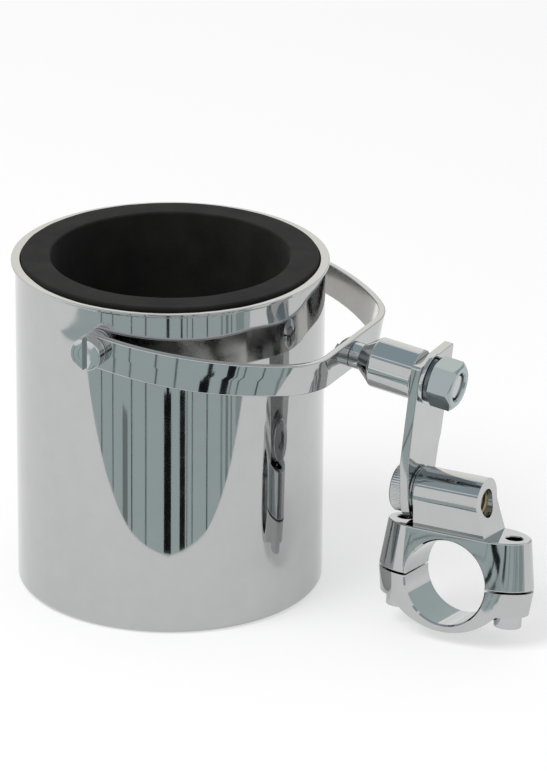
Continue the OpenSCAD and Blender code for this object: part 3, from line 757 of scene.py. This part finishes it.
def uneven(piece, size, strength):
    """Makes soft foam slightly uneven with a cloudy displacement."""
    clouds = bpy.data.textures.new(piece.name + "_clouds", "CLOUDS")
    clouds.noise_scale = size
    bpy.ops.object.modifier_add(type="DISPLACE")
    step = piece.modifiers[-1]
    step.texture = clouds
    step.texture_coords = "LOCAL"
    step.strength = strength
    step.mid_level = 1
    bpy.ops.object.modifier_apply(modifier=step.name)
    return piece


polish(place(uneven(sleeve, sleeve_lump, foam_wave), Matrix.Translation(cup_foot)), 60)
foam = bpy.data.materials.new("black_foam")
foam.use_nodes = True
foam_nodes = foam.node_tree.nodes
foam_link = foam.node_tree.links.new
foam_shader = foam_nodes["Principled BSDF"]
foam_shader.inputs["Roughness"].default_value = 0.85
foam_shader.inputs["Specular IOR Level"].default_value = 0.12
foam_shader.inputs["Sheen Weight"].default_value = 0.04
foam_where = foam_nodes.new("ShaderNodeTexCoord")
foam_cells = foam_nodes.new("ShaderNodeTexVoronoi")
foam_cells.inputs["Scale"].default_value = 2200
foam_link(foam_where.outputs["Object"], foam_cells.inputs["Vector"])
foam_cloud = foam_nodes.new("ShaderNodeTexNoise")
foam_cloud.inputs["Scale"].default_value = 110
foam_cloud.inputs["Detail"].default_value = 8
foam_link(foam_where.outputs["Object"], foam_cloud.inputs["Vector"])
foam_tone = foam_nodes.new("ShaderNodeValToRGB")
foam_tone.color_ramp.elements[0].position = 0.3
foam_tone.color_ramp.elements[0].color = (0.012, 0.012, 0.0115, 1)
foam_tone.color_ramp.elements[1].position = 0.75
foam_tone.color_ramp.elements[1].color = (0.022, 0.022, 0.0205, 1)
foam_link(foam_cloud.outputs["Fac"], foam_tone.inputs["Fac"])
foam_link(foam_tone.outputs["Color"], foam_shader.inputs["Base Color"])
foam_bump = foam_nodes.new("ShaderNodeBump")
foam_bump.inputs["Strength"].default_value = 0.5
foam_bump.inputs["Distance"].default_value = 0.12 * mm
foam_link(foam_cells.outputs["Distance"], foam_bump.inputs["Height"])
foam_link(foam_bump.outputs["Normal"], foam_shader.inputs["Normal"])
fit_out(sleeve, foam, "cup", "black_foam", "foam_sleeve")
pad_gap = 0.15 * mm
pad_r = sleeve_bore - pad_gap
pad_t = 6 * mm
pad_top = cup_wall + pad_t
pad_edge = 1 * mm
pad_foot = 0.5 * mm
pad_rings = (30 * mm, 24 * mm, 18 * mm, 12 * mm, 6 * mm, 1 * mm)
pad_lump = 8 * mm
profile = [(pad_rings[-1], cup_wall), (pad_r - pad_edge, cup_wall)]
profile += arc((pad_r - pad_foot, cup_wall + pad_foot), pad_foot, -90, 0, 4)
profile += arc((pad_r - pad_edge, pad_top - pad_edge), pad_edge, 0, 90, 5)
profile += [(r, pad_top) for r in pad_rings]
pad = turned("foam_floor_pad", profile, 128)
polish(place(uneven(pad, pad_lump, foam_wave), Matrix.Translation(cup_foot)), 60)
fit_out(pad, foam, "cup", "black_foam", "foam_base_pad")

# Two pivots: at each side a chromed slotted screw with washer, spacer and nut lets the cup swing.
# The screw is held in the cup's wall by the nut behind it, which lies in a pocket of the foam.
slot_w = 1.5 * mm
slot_depth = 1.5 * mm
pivot_head_r = 4.9 * mm
pivot_head_h = 3.2 * mm
play = 0.1 * mm
washer_t = 0.7 * mm
spacer_t = 1.5 * mm
pivot_nut_af = 8 * mm
pivot_nut_t = 3.2 * mm
nut_back = sqrt(inner_r ** 2 - pivot_nut_af ** 2 / 3) - play
pivot_nut_round = 0.25 * mm
pivot_bore = pivot_r + hole_gap
pivot_round = 0.4 * mm
thin_edge = 0.15 * mm
spacer_edge = 0.3 * mm
tip = nut_back - pivot_nut_t - pivot_round
washer_at = outer_y + play
head_at = washer_at + washer_t
head_top = head_at + pivot_head_h
half_slot = slot_w / 2
slot_l = 2 * pivot_head_r
slot_plan = ((-half_slot, -slot_l), (half_slot, -slot_l), (half_slot, slot_l), (-half_slot, slot_l))
for side, word in ((-1, "front"), (1, "rear")):
    pivot_axes = axes_at(pivot_at, (1, 0, 0), (0, side, 0))
    profile = [(pivot_r - pivot_round, tip), (pivot_r, tip + pivot_round), (pivot_r, head_at)]
    profile += [(pivot_head_r - thin_edge, head_at), (pivot_head_r, head_at + thin_edge)]
    profile += arc((pivot_head_r - pivot_round, head_top - pivot_round), pivot_round, 0, 90, 5)
    profile += [(middle_r, head_top)]
    screw = turned("slotted_pivot_screw_" + word, profile, 128)
    blade = [(x, y, head_top - slot_depth) for x, y in slot_plan]
    cut(screw, plate("blade", blade, (0, 0, slot_depth + past)))
    polish(place(soften(screw, key_round, 60, 2), pivot_axes))
    fit_out(screw, fastener_chrome, "cup", "fastener_chrome", "pivot_screw_" + word)
    ring = washer("thin_pivot_washer_" + word, pivot_bore, pivot_head_r, washer_at, washer_t, thin_edge)
    polish(place(ring, pivot_axes))
    fit_out(ring, fastener_chrome, "cup", "fastener_chrome", "pivot_washer_" + word)
    ring = washer("round_pivot_spacer_" + word, pivot_bore, pivot_head_r, cup_r, spacer_t, spacer_edge)
    polish(place(ring, pivot_axes))
    fit_out(ring, fastener_chrome, "cup", "fastener_chrome", "pivot_spacer_" + word)
    inner_nut = hexagon("hidden_pivot_nut_" + word, pivot_nut_af, nut_back - pivot_nut_t, nut_back)
    soften(inner_nut, pivot_nut_round, 40, 2)
    cut(inner_nut, turned("pivot_nut_bore", [(pivot_bore, tip - past), (pivot_bore, nut_back + past)], 48))
    polish(place(inner_nut, pivot_axes))
    fit_out(inner_nut, fastener_chrome, "cup", "fastener_chrome", "pivot_nut_" + word)

# Camera: stands to the right of the front and a little above, far off with a long lens.
# The picture is 547 by 771 pixels, so the sensor's long side is upright.
view_turn = radians(26.3)
view_rise = radians(22.09)
view_roll = radians(0.45)
view_distance = 1.6415
picture_height = 771
focal_pixels = 5530.8
sensor = 36
aim_side = 30.64 * mm
aim_height = 60.44 * mm
ground_front = Vector((sin(view_turn), -cos(view_turn), 0))
ground_right = Vector((cos(view_turn), sin(view_turn), 0))
back = ground_front * cos(view_rise) + Vector((0, 0, sin(view_rise)))
view_up = back.cross(ground_right)
camera_x = ground_right * cos(view_roll) + view_up * sin(view_roll)
aim = cup_foot + ground_right * aim_side + Vector((0, 0, aim_height))
bpy.ops.object.camera_add()
camera = bpy.context.object
camera.matrix_world = axes_at(aim + back * view_distance, camera_x, back)
camera.data.lens = focal_pixels / picture_height * sensor
camera.data.sensor_width = sensor
camera.data.clip_end = 20
bpy.context.scene.camera = camera

# Floor: plain white card that the cup stands on, with its own soft shadow.
# Part of its white is its own glow, so that it meets the white background without an edge.
floor_glow = 0.5
floor_size = 12
floor_drop = Vector((0, 0, 0.05 * mm))
bpy.ops.object.select_all(action="DESELECT")
bpy.ops.mesh.primitive_plane_add(size=floor_size, location=cup_foot - floor_drop)
floor = bpy.context.object
floor.name = "floor"
card = bpy.data.materials.new("white_card")
card.use_nodes = True
card_shader = card.node_tree.nodes["Principled BSDF"]
card_shader.inputs["Base Color"].default_value = (0.55, 0.55, 0.55, 1)
card_shader.inputs["Roughness"].default_value = 1
card_shader.inputs["Specular IOR Level"].default_value = 0
card_shader.inputs["Emission Color"].default_value = (1, 1, 1, 1)
card_shader.inputs["Emission Strength"].default_value = floor_glow
floor.data.materials.append(card)

# Room round the white card, seen only in the chrome: a grey-green floor past the card's edge, with dark
# stripes that run away from the cup, a low wall ahead, a wall at the right, a bright window behind the cup
# and a grey-blue ceiling. A stripe's left and right edges are given in picture pixels, as the cup shows them.
room_colour = (0.53, 0.62, 0.62)
far = 900 * mm
mat_lift = 0.2 * mm
stripe_lift = 0.4 * mm
stripe_step = 1 * mm
edge_points = ((-260, 40), (-235, 118), (-200, 130), (-130, 125), (-85, 118), (-45, 109), (0, 102), (45, 109),
               (85, 121), (130, 132), (182, 142), (260, 156), (900, 270))
room_left = 255 * mm
short_end = 190 * mm
bars_end = 232 * mm
bars_again = 305 * mm
bars_far = 430 * mm
long_stripes = ((102, 103.2, 0.35), (113.3, 114.4, 0.3), (132, 133.2, 0.2), (146, 147.4, 0.3),
                (207, 208.2, 0.2), (221, 223, 0.6), (226, 228.5, 0.5), (231, 232.2, 0.4), (236, 244, 0.7))
stripes = [(left, right, shade, 0, far) for left, right, shade in long_stripes]
stripes += [(123.5, 128.5, 0.45, 0, short_end), (192, 198, 0.1, bars_again, far)]
stripes += [(164.8, 172, 0.02, 0, bars_end), (180.5, 186, 0.03, 0, bars_end)]
stripes += [(167.3, 170.2, 0.05, bars_end, bars_again), (181.4, 183.2, 0.1, bars_end, bars_again)]
stripes += [(187.3, 188.2, 0.3, 0, bars_again), (192.5, 193.6, 0.3, 0, bars_again)]
stripes += [(150, 184, 0.02, bars_again, bars_far)]
cup_middle_px = 169.3
cup_half_px = 155.4


def glow(name, colour):
    """Even card colour that shows as it is written."""
    material = bpy.data.materials.new(name)
    material.use_nodes = True
    shader = material.node_tree.nodes["Principled BSDF"]
    shader.inputs["Base Color"].default_value = (0, 0, 0, 1)
    shader.inputs["Specular IOR Level"].default_value = 0
    shader.inputs["Emission Color"].default_value = list(colour) + [1]
    shader.inputs["Emission Strength"].default_value = 1
    return material


def stage_card(name, points, material):
    """Flat card of the stage that only shows in mirrors."""
    sheet = flat_face(name, points)
    sheet.data.materials.append(material)
    sheet.visible_camera = False
    sheet.visible_diffuse = False
    sheet.visible_shadow = False
    sheet.visible_transmission = False
    return sheet


def ground(side, ahead, lift):
    """Point on the floor, counted from the cup's middle to the right and towards the camera."""
    return cup_foot + ground_right * side + ground_front * ahead + Vector((0, 0, lift))


mat_points = [ground(side * mm, ahead * mm, mat_lift) for side, ahead in edge_points]
mat_points += [ground(far, far, mat_lift), ground(edge_points[0][0] * mm, far, mat_lift)]
stage_card("room_floor", mat_points, glow("room_floor", room_colour))


def card_edge(side):
    """How far ahead of the cup the white card ends, at a place to the side, in millimetres."""
    for (left, near), (right, next_near) in zip(edge_points, edge_points[1:]):
        if side <= right:
            return near + (next_near - near) * max(0, side - left) / (right - left)
    return edge_points[-1][1]


def stripe_point(pixel, ahead):
    """Floor point that one upright line of the cup mirrors, past the white card and on the room's floor."""
    turn = asin((pixel - cup_middle_px) / cup_half_px)
    run = max(0, ahead - cup_r) / cos(2 * turn)
    if turn < 0:
        run = min(run, (room_left + cup_r * sin(turn)) / -sin(2 * turn))
    side = cup_r * sin(turn) + run * sin(2 * turn)
    reached = cup_r * cos(turn) + run * cos(2 * turn)
    while reached <= card_edge(side / mm) * mm:
        side += stripe_step * sin(2 * turn)
        reached += stripe_step * cos(2 * turn)
    return ground(side, reached, stripe_lift)


for left, right, shade, start, end in stripes:
    corners = [stripe_point(*corner) for corner in ((left, start), (right, start), (right, end), (left, end))]
    stage_card("room_stripe", corners, glow("stripe", [shade * c for c in room_colour]))


def upright_card(name, left, right, low, high, colour):
    """Card that stands between two places on the floor, from one height to another."""
    corners = [ground(*left, low), ground(*right, low), ground(*right, high), ground(*left, high)]
    return stage_card(name, corners, glow(name, colour))


wall_foot = 1 * mm
wall_at = 1.1
wall_h = 0.15
right_wall_h = 0.6
upright_card("room_wall", (-0.8, wall_at), (1.1, wall_at), wall_foot, wall_h, (0.42, 0.48, 0.5))
upright_card("room_wall_right", (1.9, 0), (0.3, -1.6), wall_foot, right_wall_h, room_colour)
window_at = -2
window_low = 0.45
window_high = 2.2
upright_card("room_window", (-0.7, window_at), (0.9, window_at), window_low, window_high, (1.18, 1.16, 1.09))
ceiling_h = 1.1
ceiling_half = 1.2
for near, end in ((-0.7, 0.62), (0.72, 1.0)):
    ceiling = [(-ceiling_half, near), (ceiling_half, near), (ceiling_half, end), (-ceiling_half, end)]
    ceiling = [ground(side, ahead, ceiling_h) for side, ahead in ceiling]
    stage_card("room_ceiling", ceiling, glow("room_ceiling", (0.40, 0.49, 0.54)))

# Light: a wide soft lamp high on the left and an even white surround.
# The surround is white to the camera and in the chrome, and a little weaker as a light.
scene = bpy.context.scene
scene.view_settings.view_transform = "Standard"
lamp_side = -0.7
lamp_ahead = 0.5
lamp_h = 1.3
bpy.ops.object.light_add(type="AREA", location=ground(lamp_side, lamp_ahead, lamp_h))
lamp = bpy.context.object
lamp.data.shape = "DISK"
lamp.data.size = 0.9
lamp.data.energy = 11
lamp.rotation_euler = (aim - lamp.location).to_track_quat("-Z", "Y").to_euler()
lamp.visible_glossy = False
world = bpy.data.worlds.new("white_surround")
world.use_nodes = True
scene.world = world
sky = world.node_tree.nodes["Background"]
sky.inputs["Color"].default_value = (1, 1, 1, 1)
ray = world.node_tree.nodes.new("ShaderNodeLightPath")
seen = world.node_tree.nodes.new("ShaderNodeMath")
seen.operation = "MAXIMUM"
world.node_tree.links.new(ray.outputs["Is Camera Ray"], seen.inputs[0])
world.node_tree.links.new(ray.outputs["Is Glossy Ray"], seen.inputs[1])
shown = world.node_tree.nodes.new("ShaderNodeMath")
shown.operation = "MAXIMUM"
world.node_tree.links.new(seen.outputs["Value"], shown.inputs[0])
world.node_tree.links.new(ray.outputs["Is Transmission Ray"], shown.inputs[1])
level = world.node_tree.nodes.new("ShaderNodeMapRange")
level.inputs["To Min"].default_value = 0.6
level.inputs["To Max"].default_value = 1
world.node_tree.links.new(shown.outputs["Value"], level.inputs["Value"])
world.node_tree.links.new(level.outputs["Result"], sky.inputs["Strength"])
